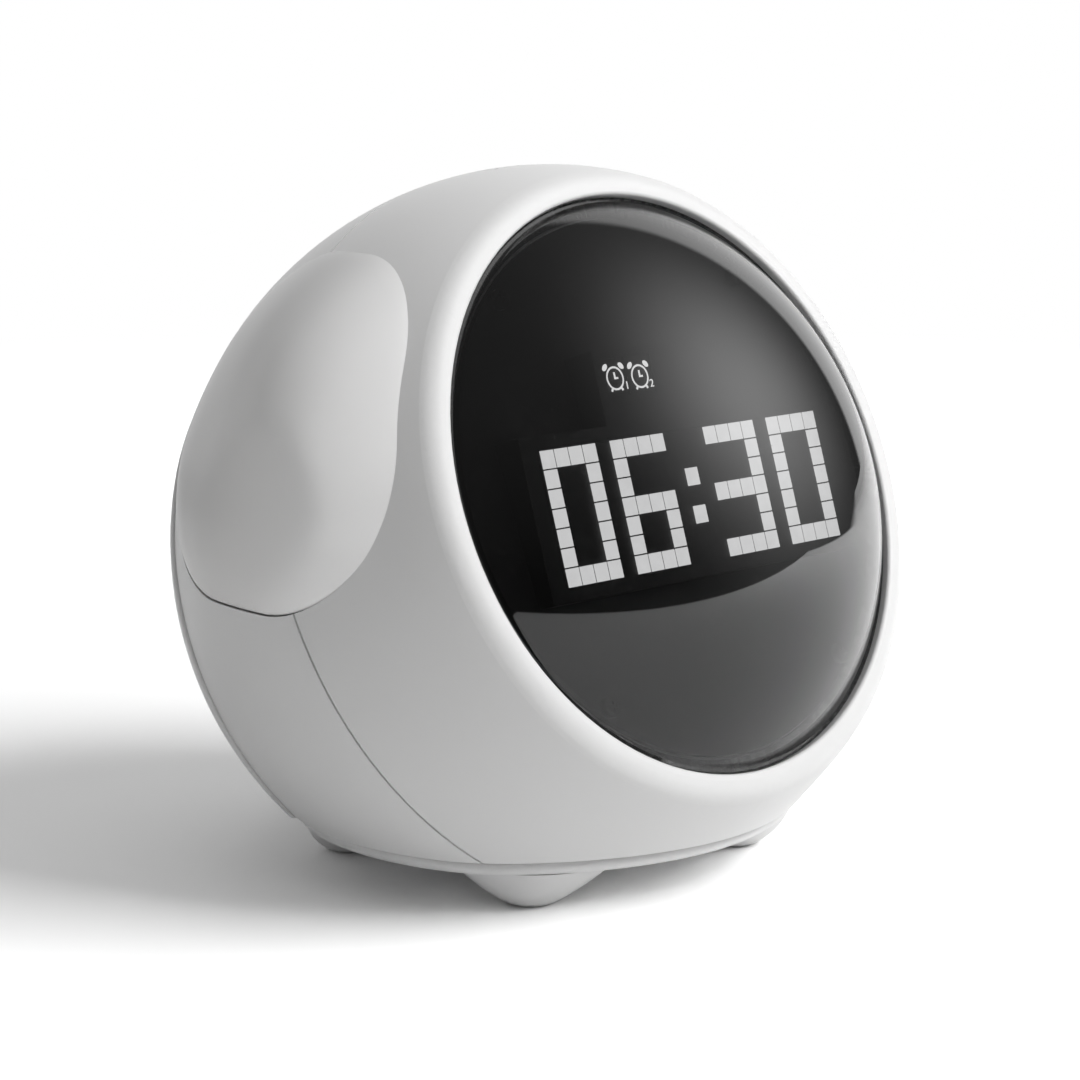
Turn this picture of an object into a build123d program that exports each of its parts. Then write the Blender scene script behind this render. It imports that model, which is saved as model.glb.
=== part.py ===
from build123d import *
from math import atan, cos, degrees, radians, sin, sqrt
import os

# Bedside alarm clock for a child: a ball on four feet with a domed, leaning display,
# a night light on each side, four keys and a charging socket at the back.
#
# Part frame: Z up, the face looks along -Y, the origin is on the table under the middle
# of the bounding box.  Everything is built round the centre of the ball and moved once.
# The face frame has its Z along the face axis and its Y up along the face.

# ---------------------------------------------------------------- driving dimensions, mm
# Ball-shaped body
ball_radius = 47.5
ball_height = 40.4            # centre of the ball above the table
wall = 2.0                    # wall of the moulded shells
face_tilt = 21.76             # degrees that the face leans back
front_pull = 2.5              # the lower front edge is drawn in by this much
pull_length = 18.0            # length along the face axis over which that happens
rim_station = 25.2            # crest of the rim, along the face axis
rim_round = 3.1
rim_inner_round = 0.45
front_sections = 8            # sections that carry the drawn-in front

# Joints between mouldings
groove = 0.3                  # groove that shows between two mouldings
slip = 0.1                    # clearance of a lip or panel in its rebate
lip_height = 1.6
seam_station = 4.0            # front shell to rear shell
cover_station = -24.5         # rear shell to rear cover
cover_proud = 0.5             # the rear cover stands out of the ball by this much
cover_wall = 2.2
cover_edge_round = 0.4
base_seam = -33.0             # level of the seam over the base plate

# Lens
lens_radius = 36.2
lens_gap = 0.15               # radial gap of the lens in the rim
lens_sag = 16.0               # height of the dome over its edge
lens_drop = 0.85              # edge of the lens below the crest of the rim
lens_wall = 2.0
flange_depth = 1.8            # straight part of the lens below its edge
gasket_height = 0.25
ledge_height = 1.8            # ledge in the front shell that the lens and display sit on
ledge_inner = 30.8

# Display
display_station = 26.27       # middle of the lit plane along the face axis
display_lift = -1.15          # and up along the face
display_tilt = 17.53          # degrees that the lit plane leans back
cell_pitch = 2.33
cell_columns = 21
cell_rows = 7
cell_wall = 0.17              # wall between two cells at the front of the light grid
cell_rear = 1.5               # side of a cell at the lamp
grid_margin = 0.3
grid_depth = 4.0
sheet_height = 0.5            # diffuser sheet
film_height = 0.2             # printed window film
frame_side = 2.6              # side bars of the display frame
frame_bar = 1.4               # its top and bottom bars
frame_disc = 33.8             # radius of its round flange
frame_disc_height = 1.0
board_height = 1.2            # all circuit boards
board_corner = 1.0
led_length = 1.0
led_width = 0.7
led_height = 0.6
icon_width = 3.6              # lit windows for the two alarm signs
icon_height = 4.6
icon_pitch = 4.5
icon_middle = -6.95
icon_level = 15.5
icon_bar = 12.6               # half width of the part of the display frame above the grid
icon_top = 18.9
display_screw_y = 6.5

# Night lights on both sides
pod_middle = 5.3              # middle of the outline, along Y
pod_top = 37.5
pod_bottom = -2.6
pod_top_width = 28.2
pod_bottom_width = 54.0
pod_top_round = 16.0
pod_bottom_round = 16.0
pod_reach = 20.5               # mean distance from the middle of a night light to its edge
pod_edge_proud = 1.5           # how far it stands out of the ball there
pod_crown = 3.6                # and in its middle
pod_edge_round = 3.0
pod_wall = 2.0
pod_flange = 1.5              # flange that catches behind the shells
pod_flange_height = 1.15
pod_board_width = 22.0
pod_board_depth = 16.0
pod_board_station = 38.0      # distance of the lamp board from the centre of the ball
pod_post_x = 9.0
pod_post_radius = 1.6
pod_lamp_side = 3.5
pod_lamp_height = 1.4
pod_lamp_pitch = 9.0

# Base plate and feet
base_depth = 1.65             # thickness of the base plate
base_edge_round = 0.7
foot_x = 18.54
foot_front = -15.1
foot_rear = 18.0
foot_tip = 3.1                # radius of a foot at its tip
foot_root = 11.2              # and where it runs into the plate
foot_flare = 0.9
foot_lean = 1.5               # how late the foot leans in towards the middle of the plate
foot_sections = 6
pad_radius = 2.2
pad_height = 0.75
pad_proud = 0.25
foot_seat = 2.3               # seat of the screw head above the table
foot_tube = 3.1               # screw tube in a foot, and the boss that it meets
web_width = 3.0
lip_wall = 1.2
foot_pocket = 5.6             # radius of the hollow in a foot round its screw tube
foot_skin = 2.2               # thickness under that hollow
foot_tip_round = 0.5

# Speaker
hole_radius = 0.4
hole_pitch = 1.8
hole_columns = 7
hole_rows = 5
hole_middle = 7.7             # middle of the hole pattern, along Y
speaker_y = 7.7
speaker_radius = 7.5
speaker_height = 4.0
speaker_top = 41.6
speaker_cup_wall = 1.2
cone_radius = 6.6
cone_drop = 0.8
cone_wall = 0.3
coil_radius = 2.2
speaker_gasket_height = 0.6
magnet_radius = 4.5
magnet_height = 1.2

# Keys, socket and their board
key_radius = 3.3
key_gap = 0.3
key_pitch = 9.2
key_count = 4
key_level = 12.0
key_proud = 0.9
key_edge_round = 0.5
key_flange = 0.8              # collar that keeps a key in the cover
key_collar = 1.0
key_travel = 0.5
key_stem = 1.8
key_tip = 0.9
key_tip_depth = 0.5           # how far the tip stands in the switch at rest
key_board_station = 33.6      # face of the key board that the switches stand on
key_board_half = 20.5
key_board_top = 17.5
key_board_bottom = -13.0
key_post_x = 17.8
key_post_levels = (-10.0, 4.2)
key_post_radius = 1.9
switch_side = 6.0
switch_height = 3.4
switch_well = 1.3
switch_well_radius = 1.2
socket_level = -7.0
socket_width = 8.94
socket_height = 3.16
socket_shell = 0.3
socket_mouth = 46.6           # mouth of the socket, along Y
socket_block = 5.4
socket_tongue_width = 6.7
socket_tongue = 0.7

# Battery and main board
battery_width = 25.0
battery_length = 36.0
battery_height = 8.0
battery_y = 1.0
battery_round = 2.0
tape_height = 1.0
main_board_width = 50.0
main_board_length = 31.0
main_board_y = -2.0
main_board_level = -21.6
post_x = 21.0
post_front = -5.0
post_rear = 4.8
post_radius = 2.2
board_blocks = (              # width, length, height, x, y of what stands on the main board
    (7.0, 7.0, 1.0, -2.0, -3.0),
    (5.2, 4.0, 1.5, -12.0, -4.0),
    (3.2, 2.6, 2.0, 7.0, -2.0),
    (7.5, 4.0, 4.5, -8.0, -14.0),
    (7.5, 4.0, 4.5, 8.0, -14.0),
    (9.0, 4.0, 4.5, 0.0, 9.5),
)
board_cans = (                # radius, height, x, y of its capacitors
    (2.5, 5.5, 14.0, 2.0),
    (2.0, 5.0, 15.0, -6.0),
)

# Screw posts that hold the shells together
shell_post_ring = 35.0
shell_post_angles = (62.0, 118.0, 205.0, 335.0)
shell_post_radius = 3.2
shell_tube_radius = 4.0
shell_post_meet = 3.0         # station where the posts of both shells meet
shell_screw_seat = -8.0
ring_inner = 29.0             # ring in the rear shell that the cover is screwed to
ring_height = 1.8
ring_depth = 2.4              # rear face of the ring, in front of the edge of the cover
cover_post_ring = 32.0
cover_post_angles = (35.0, 145.0, 200.0, 340.0)
cover_post_radius = 2.6
cover_boss_length = 4.3
cover_screw_seat = -31.0
skirt_wall = 1.5
frame_screw_ring = 32.4
frame_screw_angles = (50.0, 130.0, 230.0, 310.0)
frame_boss_radius = 2.0
frame_boss_length = 3.0

# Screws: shank radius, length, head radius, head height
shell_screw = (1.25, 14.0, 2.4, 1.8)
base_screw = (1.25, 9.0, 1.8, 1.3)
cover_screw = (1.0, 12.0, 1.9, 1.2)
small_screw = (0.8, 4.0, 1.3, 0.9)
screw_slip = 0.15             # radial clearance of a screw in the piece that it clamps
well_slip = 0.25              # radial clearance of a screw head in its well

# Worked out from the above
far = 200.0                   # larger than the whole clock
lift = front_pull / 2         # the front is drawn in to one side, so its axis rises
ledge_top = rim_station - lens_drop - flange_depth - gasket_height
ledge_rear = ledge_top - ledge_height
lens_edge = rim_station - lens_drop
dome_radius = (lens_radius**2 + lens_sag**2) / (2 * lens_sag)
dome_middle = lens_edge + lens_sag - dome_radius
ring_rear = cover_station + ring_depth
cover_radius = ball_radius + cover_proud
base_bottom = base_seam - groove - base_depth
table = -ball_height
tilt = radians(face_tilt)
front_reach = dome_middle * cos(tilt) - lift * sin(tilt) + dome_radius
middle_y = (front_reach - cover_radius) / 2

FACE = Plane(origin=(0, 0, 0), x_dir=(1, 0, 0), z_dir=(0, -cos(tilt), sin(tilt)))
DOWN = Align.MAX
UP = Align.MIN
MID = Align.CENTER


# ---------------------------------------------------------------- helpers
def on_face(shape):
    """Turn a shape from the face frame into the upright frame."""
    return FACE.location * shape


def slab(low, high, side=far):
    """Everything between two levels."""
    return Pos(0, 0, low) * Box(side, side, high - low, align=(MID, MID, UP))


def disc(radius, low, high, x=0.0, y=0.0):
    return Pos(x, y, low) * Cylinder(radius, high - low, align=(MID, MID, UP))


def plate(width, length, low, high, x=0.0, y=0.0, corner=0.0):
    outline = RectangleRounded(width, length, corner) if corner else Rectangle(width, length)
    return Pos(x, y, low) * extrude(outline, high - low)


def polar(radius, angle):
    return radius * cos(radians(angle)), radius * sin(radians(angle))


def ball(radius):
    """A ball whose seam line lies underneath, away from the night lights."""
    return Rot(0, 0, -90) * Sphere(radius)


def body_form(inset):
    """The outer form of the body, drawn in by inset, in the face frame."""
    radius = ball_radius - inset
    sections = []
    for step in range(front_sections):
        station = rim_station * step / (front_sections - 1)
        share = min(station / pull_length, 1.0)
        pull = front_pull * share**2 * (3 - 2 * share)
        section = Circle(sqrt(radius**2 - station**2) - pull / 2)
        sections.append(Pos(0, pull / 2, station) * Rot(0, 0, -90) * section)
    rear = Sphere(radius, arc_size1=-90, arc_size2=0, align=(MID, MID, DOWN))
    return loft(sections) + Rot(0, 0, -90) * rear


def at_back(shape, x, station, level):
    """Turn a shape that was drawn along Z so that it looks along +Y, at the back of the clock."""
    return Pos(x, station, level) * Rot(-90, 0, 0) * shape


def screw(sizes, head_up=True):
    """A screw whose head seats on the origin and whose shank runs down."""
    shank, length, head, height = sizes
    body = disc(shank, -length, 0) + disc(head, 0, height)
    crown = body.faces().sort_by(Axis.Z)[-1].edges()
    body = fillet(crown, height / 4)
    slot = Pos(0, 0, height) * Box(head, shank / 2, height / 2)
    cross = Pos(0, 0, height) * Box(shank / 2, head, height / 2)
    body = body - slot - cross
    return body if head_up else Rot(180, 0, 0) * body


def save(shape, name):
    """Write one node, moved from the centre of the ball to the part frame."""
    placed = Pos(0, middle_y, ball_height) * shape
    placed.label = name
    export_step(placed, "parts/" + name + ".step")


# ---------------------------------------------------------------- outlines
def pod_outline(grow=0.0):
    """A night light seen from the side: a trapezoid with round corners."""
    bottom = pod_bottom_width / 2
    top = pod_top_width / 2
    corners = Polygon(
        (pod_middle - bottom, pod_bottom),
        (pod_middle + bottom, pod_bottom),
        (pod_middle + top, pod_top),
        (pod_middle - top, pod_top),
        align=None,
    )
    lower = fillet(corners.vertices().group_by(Axis.Y)[0], pod_bottom_round)
    outline = fillet(lower.vertices().group_by(Axis.Y)[-1], pod_top_round)
    return Plane.YZ * (offset(outline, grow) if grow else outline)


def module_outline(grow=0.0):
    """The display seen square on: the cell grid with a smaller field for the signs above."""
    low = -(cell_rows * cell_pitch / 2 + grid_margin + frame_bar)
    half = cell_columns * cell_pitch / 2 + grid_margin + frame_side
    cells = Rectangle(2 * (half + grow), 2 * (grow - low))
    signs = Pos(0, (icon_top + low) / 2) * Rectangle(2 * (icon_bar + grow), icon_top - low + 2 * grow)
    return cells + signs


def grid_outline(grow=0.0):
    width = cell_columns * cell_pitch + 2 * grid_margin
    height = cell_rows * cell_pitch + 2 * grid_margin
    return Rectangle(width + 2 * grow, height + 2 * grow)


# ---------------------------------------------------------------- where things sit
DISPLAY = Plane(
    origin=(FACE.location * Pos(0, display_lift, display_station)).position,
    x_dir=(1, 0, 0),
    z_dir=(0, -cos(radians(display_tilt)), sin(radians(display_tilt))),
)
pod_level = (pod_top + pod_bottom) / 2
pod_side = sqrt(ball_radius**2 - pod_middle**2 - pod_level**2)
pod_direction = Vector(pod_side, pod_middle, pod_level).normalized()
POD = Plane(origin=pod_direction * pod_board_station, x_dir=(0, 1, 0), z_dir=pod_direction)
pod_edge_station = sqrt((ball_radius + pod_edge_proud) ** 2 - pod_reach**2)
pod_rise = ball_radius + pod_crown - pod_edge_station
pod_radius = (pod_reach**2 + pod_rise**2) / (2 * pod_rise)
pod_centre = pod_direction * (ball_radius + pod_crown - pod_radius)
shell_posts = [polar(shell_post_ring, angle) for angle in shell_post_angles]
cover_posts = [polar(cover_post_ring, angle) for angle in cover_post_angles]
frame_screws = [polar(frame_screw_ring, angle) for angle in frame_screw_angles]
feet = [(x, y) for y in (foot_front, foot_rear) for x in (-foot_x, foot_x)]
board_posts = [(x, y) for y in (post_front, post_rear) for x in (-post_x, post_x)]
keys = [((number - (key_count - 1) / 2) * key_pitch, key_level) for number in range(key_count)]
key_posts = [(x, level) for level in key_post_levels for x in (-key_post_x, key_post_x)]
lamp_offsets = (-pod_lamp_pitch / 2, pod_lamp_pitch / 2)
lamp_places = [(x, y) for x in lamp_offsets for y in lamp_offsets]
pod_posts = [(-pod_post_x, 0), (pod_post_x, 0)]
icon_places = [(icon_middle + side * icon_pitch / 2, icon_level) for side in (-1, 1)]
cell_places = [
    ((column - (cell_columns - 1) / 2) * cell_pitch, (row - (cell_rows - 1) / 2) * cell_pitch)
    for column in range(cell_columns)
    for row in range(cell_rows)
]
above_base = slab(base_seam, far)
boss_top = table + foot_seat + base_screw[1] + lip_height
module_rear = -(sheet_height + grid_depth)
bar_middle = cell_columns * cell_pitch / 2 + grid_margin + frame_side / 2
display_screws = [(x, y) for x in (-bar_middle, bar_middle) for y in (-display_screw_y, display_screw_y)]


# ---------------------------------------------------------------- front and rear shell
def pod_window():
    """What the shells leave out for one night light: its outline, and a seat for its flange."""
    through = extrude(pod_outline(groove), far)
    seat = extrude(pod_outline(pod_flange + slip), far) & ball(ball_radius - wall + slip)
    return (through + seat) - ball(ball_radius - wall - pod_flange_height - slip)


def both_sides(shape):
    return shape + mirror(shape, about=Plane.YZ)


def speaker_cup():
    """A cup that hangs under the speaker holes, open below."""
    low = speaker_top - speaker_height - magnet_height
    cup = disc(speaker_radius + slip + speaker_cup_wall, low, far, 0, speaker_y)
    inside = ball(ball_radius - wall - groove)
    front = on_face(body_form(wall / 2) & slab(seam_station + lip_height + groove, far))
    cup = (cup & inside) + (cup & front)
    shoulder = speaker_top + speaker_gasket_height
    cup -= disc(speaker_radius + slip, low - wall, shoulder, 0, speaker_y)
    width = (hole_columns - 1) * hole_pitch + 4 * hole_radius
    length = (hole_rows - 1) * hole_pitch + 4 * hole_radius
    return cup - plate(width, length, shoulder - wall, far, 0, hole_middle, hole_radius)


def speaker_holes():
    across = [(step - (hole_columns - 1) / 2) * hole_pitch for step in range(hole_columns)]
    along = [(step - (hole_rows - 1) / 2) * hole_pitch for step in range(hole_rows)]
    holes = [disc(hole_radius, 0, far, x, hole_middle + y) for x in across for y in along]
    return Part() + holes


def base_bosses(y, web_end):
    """Two bosses that the base plate is screwed to, each on a web that carries it."""
    shape = Part()
    for x in (-foot_x, foot_x):
        boss = disc(foot_tube, base_seam, boss_top, x, y)
        web = plate(web_width, abs(web_end - y), base_seam, boss_top, x, (y + web_end) / 2)
        pilot = disc(base_screw[0], base_seam - wall, boss_top - lip_height, x, y)
        shape += (boss + web) - pilot
    return shape & on_face(body_form(wall / 2))


def front_shell():
    shell = body_form(0)
    shell = fillet(shell.edges().sort_by(Axis.Z)[-1], rim_round)
    shell -= body_form(wall) & slab(-far, ledge_rear)
    shell -= slab(-far, seam_station + groove / 2)
    shell -= body_form(wall / 2) & slab(-far, seam_station + lip_height)
    shell -= disc(lens_radius + lens_gap, ledge_top, far, 0, lift)
    shell = fillet(shell.edges().filter_by(GeomType.CIRCLE).sort_by(Axis.Z)[-1], rim_inner_round)
    shell -= disc(ledge_inner, 0, far, 0, lift)
    for x, y in frame_screws:
        shell += disc(frame_boss_radius, ledge_rear - frame_boss_length, ledge_top, x, lift + y)
    for x, y in frame_screws:
        shell -= disc(small_screw[0], ledge_rear - frame_boss_length / 2, far, x, lift + y)
    for x, y in shell_posts:
        post = disc(shell_post_radius, shell_post_meet, ledge_rear + ledge_height / 2, x, y)
        pilot = disc(shell_screw[0], 0, shell_screw_seat + shell_screw[1] + slip, x, y)
        shell += post - pilot
    shell = on_face(shell) & above_base
    shell -= both_sides(pod_window())
    shell += speaker_cup()
    shell -= speaker_holes()
    return shell + base_bosses(foot_front, -ball_radius)


def rear_shell():
    shell = body_form(0) & slab(cover_station + groove / 2, seam_station - groove / 2)
    shell -= body_form(wall)
    lip = body_form(wall / 2 + slip) - body_form(wall)
    shell += lip & slab(seam_station - lip_height, seam_station + lip_height)
    inside = body_form(wall / 2)
    ring_front = ring_rear + ring_height
    shell += (disc(ball_radius, ring_rear, ring_front) - disc(ring_inner, -far, far)) & inside
    for x, y in shell_posts:
        shell += disc(shell_tube_radius, ring_rear, shell_post_meet, x, y) & inside
    for x, y in cover_posts:
        shell += disc(cover_post_radius, ring_rear, ring_front + cover_boss_length, x, y)
    for x, y in shell_posts:
        shell -= disc(shell_screw[2] + well_slip, -far, shell_screw_seat, x, y)
        shell -= disc(shell_screw[0] + screw_slip, -far, far, x, y)
    for x, y in cover_posts:
        shell -= disc(cover_screw[0], -far, cover_screw_seat + cover_screw[1] + slip, x, y)
    shell = on_face(shell) & above_base
    shell -= both_sides(pod_window())
    bay_half = foot_x - web_width / 2
    shell -= plate(2 * bay_half, 2 * foot_rear, base_seam, boss_top + battery_height)
    ring_middle = ring_rear + ring_height / 2
    web_end = (base_seam * sin(tilt) - ring_middle) / cos(tilt)
    return shell + base_bosses(foot_rear, web_end)


def rear_cover():
    inner = cover_radius - cover_wall
    cover = (ball(cover_radius) - ball(inner)) & slab(-far, cover_station - groove / 2)
    cover = fillet(cover.edges().filter_by(GeomType.CIRCLE).sort_by(SortBy.LENGTH)[-1], cover_edge_round)
    skirt_radius = sqrt((ball_radius - wall) ** 2 - cover_station**2) - slip
    skirt = disc(skirt_radius, cover_station - 2 * wall, ring_rear)
    skirt -= disc(skirt_radius - skirt_wall, -far, far)
    inside = ball(cover_radius - cover_wall / 2)
    cover += skirt & inside
    for x, y in cover_posts:
        cover += disc(cover_post_radius, -far, ring_rear, x, y) & inside
    for x, y in cover_posts:
        cover -= disc(cover_screw[2] + well_slip, -far, cover_screw_seat, x, y)
        cover -= disc(cover_screw[0] + screw_slip, -far, ring_rear, x, y)
    cover = on_face(cover) & above_base
    for x, level in key_posts:
        post = at_back(disc(key_post_radius, 0, far), x, key_board_station, level) & inside
        cover += post - at_back(disc(small_screw[0], -far, small_screw[1]), x, key_board_station, level)
    for x, level in keys:
        cover -= at_back(disc(key_radius + key_gap, 0, far), x, 0, level)
    slot = RectangleRounded(socket_width + 2 * well_slip, socket_height + 2 * well_slip, socket_height / 2)
    return cover - at_back(extrude(slot, far), 0, 0, socket_level)


# ---------------------------------------------------------------- base plate, feet, battery
def foot(x, y):
    """One foot: wide where it leaves the plate and narrow at the table, leaning outwards."""
    sections = []
    tip_reach = sqrt(x**2 + y**2)
    plate_radius = sqrt(ball_radius**2 - base_bottom**2) - base_edge_round
    lean = tip_reach - (plate_radius - slip - foot_root)
    height = base_bottom - table - pad_proud
    for step in range(foot_sections):
        share = step / (foot_sections - 1)
        radius = foot_tip + (foot_root - foot_tip) * share**foot_flare
        inward = 1 - lean * share**foot_lean / tip_reach
        level = table + pad_proud + height * share
        sections.append(Pos(x * inward, y * inward, level) * Circle(radius))
    shape = loft(sections)
    return fillet(shape.edges().sort_by(Axis.Z)[0], foot_tip_round)


def base_plate():
    body = on_face(body_form(0))
    top = base_seam - groove
    shape = body & slab(base_bottom, top)
    shape = fillet(shape.faces().sort_by(Axis.Z)[0].edges(), base_edge_round)
    inner = on_face(body_form(wall + slip))
    lip = inner - on_face(body_form(wall + slip + lip_wall))
    front_half = foot_x - foot_tube - wall
    side_length = post_rear - post_front
    where = Pos(0, -far / 2) * slab(top - slip, base_seam + lip_height, far)
    where = where & Box(2 * front_half, far, far)
    sides = Pos(0, (post_rear + post_front) / 2) * Box(far, side_length, far)
    where += sides & slab(top - slip, base_seam + lip_height)
    shape += lip & where
    for x, y in feet:
        shape += foot(x, y)
        shape += disc(foot_tube, base_bottom, base_seam, x, y)
    for x, y in feet:
        hollow = disc(foot_pocket, table + foot_seat + foot_skin, far, x, y)
        shape -= (hollow - disc(foot_tube, -far, far, x, y)) & slab(-far, top + slip)
        shape -= disc(pad_radius + slip, -far, table + pad_height, x, y)
        shape -= disc(base_screw[2] + well_slip, -far, table + foot_seat, x, y)
        shape -= disc(base_screw[0] + screw_slip, -far, far, x, y)
    for x, y in board_posts:
        post = disc(post_radius, base_bottom + base_depth / 2, main_board_level, x, y)
        shape += post - disc(small_screw[0], main_board_level - small_screw[1], far, x, y)
    return shape


def foot_pad(x, y):
    pad = disc(pad_radius, table, table + pad_height, x, y)
    return fillet(pad.edges().filter_by(GeomType.CIRCLE).sort_by(Axis.Z)[0], pad_proud)


def battery():
    low = base_seam - groove + tape_height
    cell = plate(battery_width, battery_length, low, low + battery_height, 0, battery_y)
    return fillet(cell.edges().filter_by(Axis.Y), battery_round)


def battery_tape():
    low = base_seam - groove
    side = battery_width - 2 * battery_round
    return plate(side, battery_length - 2 * battery_round, low, low + tape_height, 0, battery_y)


def main_board():
    low = main_board_level
    top = low + board_height
    board = plate(main_board_width, main_board_length, low, top, 0, main_board_y, board_corner)
    for x, y in board_posts:
        board -= disc(small_screw[0] + screw_slip, low - wall, far, x, y)
    return board


def main_board_parts():
    """What stands on the main board: controller, memory, sockets for the leads, capacitors."""
    low = main_board_level + board_height
    parts = Part()
    for width, length, height, x, y in board_blocks:
        parts += plate(width, length, low, low + height, x, y)
    for radius, height, x, y in board_cans:
        parts += disc(radius, low, low + height, x, y)
    return parts


# ---------------------------------------------------------------- lens and display
def lens_dome():
    """The smoked dome: a ball cap with a straight edge that stands in the rim."""
    outer = Pos(0, lift, dome_middle) * ball(dome_radius)
    inner = Pos(0, lift, dome_middle) * ball(dome_radius - lens_wall)
    flange = lens_edge - flange_depth
    shape = outer & disc(lens_radius, flange, far, 0, lift)
    shape = shape - (inner & disc(lens_radius - lens_wall, -far, far, 0, lift))
    return on_face(shape)


def lens_gasket():
    outer = disc(lens_radius, ledge_top, ledge_top + gasket_height, 0, lift)
    return on_face(outer - disc(lens_radius - lens_wall, -far, far, 0, lift))


def display_frame():
    """Round flange on the ledge, with a leaning box that holds the light grid."""
    flange = on_face(disc(frame_disc, ledge_top, ledge_top + frame_disc_height, 0, lift))
    for x, y in frame_screws:
        flange -= on_face(disc(small_screw[0] + screw_slip, 0, far, x, lift + y))
    room = DISPLAY.location * (Pos(0, 0, module_rear - far) * extrude(module_outline(slip), far))
    box = Pos(0, 0, module_rear) * extrude(module_outline(), grid_depth)
    frame = (flange - room) + DISPLAY.location * box
    for x, y in display_screws:
        pilot = disc(small_screw[0], -far, module_rear + small_screw[1] - board_height, x, y)
        frame -= DISPLAY.location * pilot
    frame -= DISPLAY.location * (Pos(0, 0, -far / 2) * extrude(grid_outline(slip), far))
    for x, y in icon_places:
        frame -= DISPLAY.location * plate(icon_width, icon_height, -far / 2, far / 2, x, y)
    return frame


def light_grid():
    """Baffle with one funnel for each cell, narrow at its lamp and square at the front."""
    front = cell_pitch - cell_wall
    flare = degrees(atan((front - cell_rear) / 2 / grid_depth))
    block = extrude(grid_outline(), grid_depth)
    rear_ends = Sketch() + [Pos(x, y) * Rectangle(cell_rear, cell_rear) for x, y in cell_places]
    block -= extrude(rear_ends, grid_depth, taper=-flare)
    return DISPLAY.location * Pos(0, 0, module_rear) * block


def diffuser_sheet():
    return DISPLAY.location * (Pos(0, 0, -sheet_height) * extrude(module_outline(), sheet_height))


def display_film():
    """Black printed film, clear over the cells and the two signs."""
    clear = Rectangle(cell_columns * cell_pitch, cell_rows * cell_pitch)
    clear = clear + [Pos(x, y) * Rectangle(icon_width, icon_height) for x, y in icon_places]
    return DISPLAY.location * extrude(module_outline() - clear, film_height)


def display_board():
    board = Pos(0, 0, module_rear - board_height) * extrude(module_outline(), board_height)
    for x, y in display_screws:
        board -= disc(small_screw[0] + screw_slip, -far, far, x, y)
    return DISPLAY.location * board


def display_lamps():
    lamps = [
        Pos(x, y, module_rear) * Box(led_length, led_width, led_height, align=(MID, MID, UP))
        for x, y in cell_places + icon_places
    ]
    return DISPLAY.location * Compound(children=lamps)


# ---------------------------------------------------------------- night lights
def pod_crown_form(inset=0.0):
    """The crowned outside of a night light, drawn in by inset."""
    return Pos(pod_centre) * ball(pod_radius - inset)


def night_light_cover():
    """Milky cushion that swells out of the shells, with a flange that catches behind them."""
    inner = ball_radius - wall - pod_flange_height
    cover = extrude(pod_outline(), far) & pod_crown_form()
    skin = cover.faces().filter_by(GeomType.SPHERE).sort_by(Axis.X)[-1]
    cover = fillet(skin.edges(), pod_edge_round)
    cover += extrude(pod_outline(pod_flange), far) & ball(ball_radius - wall)
    cover -= extrude(pod_outline(-pod_wall), far) & pod_crown_form(pod_wall)
    cover -= ball(inner)
    for x, y in pod_posts:
        post = POD.location * disc(pod_post_radius, 0, far, x, y) & pod_crown_form(pod_wall / 2)
        cover += post - POD.location * disc(small_screw[0], -far, small_screw[1], x, y)
    return cover


def night_light_board():
    board = plate(pod_board_width, pod_board_depth, -board_height, 0, 0, 0, board_corner)
    for x, y in pod_posts:
        board -= disc(small_screw[0] + screw_slip, -far, far, x, y)
    return POD.location * board


def night_light_lamps():
    lamps = [plate(pod_lamp_side, pod_lamp_side, 0, pod_lamp_height, x, y) for x, y in lamp_places]
    return POD.location * Compound(children=lamps)


# ---------------------------------------------------------------- speaker
def speaker_body():
    low = speaker_top - speaker_height
    body = disc(speaker_radius, low, speaker_top, 0, speaker_y)
    body -= disc(cone_radius, low + magnet_height, far, 0, speaker_y)
    return body + disc(magnet_radius, low - magnet_height, low, 0, speaker_y)


def speaker_cone():
    """Paper cone with a domed middle, inside the rim of the speaker."""
    low = speaker_top - speaker_height + magnet_height
    rim = speaker_top - cone_drop
    profile = Polyline(
        (0, low), (coil_radius, low), (cone_radius, rim), (cone_radius, rim + cone_wall),
        (coil_radius, low + cone_wall), (0, low + cone_wall), (0, low),
    )
    cone = revolve(Plane.XZ * make_face(profile), Axis.Z)
    return Pos(0, speaker_y, 0) * cone


def speaker_gasket():
    outer = disc(speaker_radius, speaker_top, speaker_top + speaker_gasket_height, 0, speaker_y)
    return outer - disc(cone_radius, 0, far, 0, speaker_y)


# ---------------------------------------------------------------- keys and socket
def key_cap(x, level):
    """Round key whose face follows the cover, with a collar inside it and a stem to its switch."""
    inner = cover_radius - cover_wall - key_gap
    behind = ball(inner - key_collar)
    cap = at_back(disc(key_radius, 0, far), x, 0, level) & ball(cover_radius + key_proud)
    face = cap.faces().filter_by(GeomType.SPHERE).sort_by(Axis.Y)[-1]
    cap = fillet(face.edges(), key_edge_round)
    collar = at_back(disc(key_radius + key_gap + key_flange, 0, far), x, 0, level) & ball(inner)
    cap = (cap + collar) - behind
    switch_top = key_board_station + switch_height
    stem = at_back(disc(key_stem, switch_top + key_travel + key_gap, far), x, 0, level)
    tip = at_back(disc(key_tip, switch_top - key_tip_depth, far), x, 0, level)
    return cap + ((stem + tip) & ball(inner - key_collar / 2))


def switches():
    parts = []
    for x, level in keys:
        body = plate(switch_side, switch_side, 0, switch_height)
        body -= disc(switch_well_radius, switch_height - switch_well, far)
        parts.append(at_back(body, x, key_board_station, level))
    return Compound(children=parts)


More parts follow.
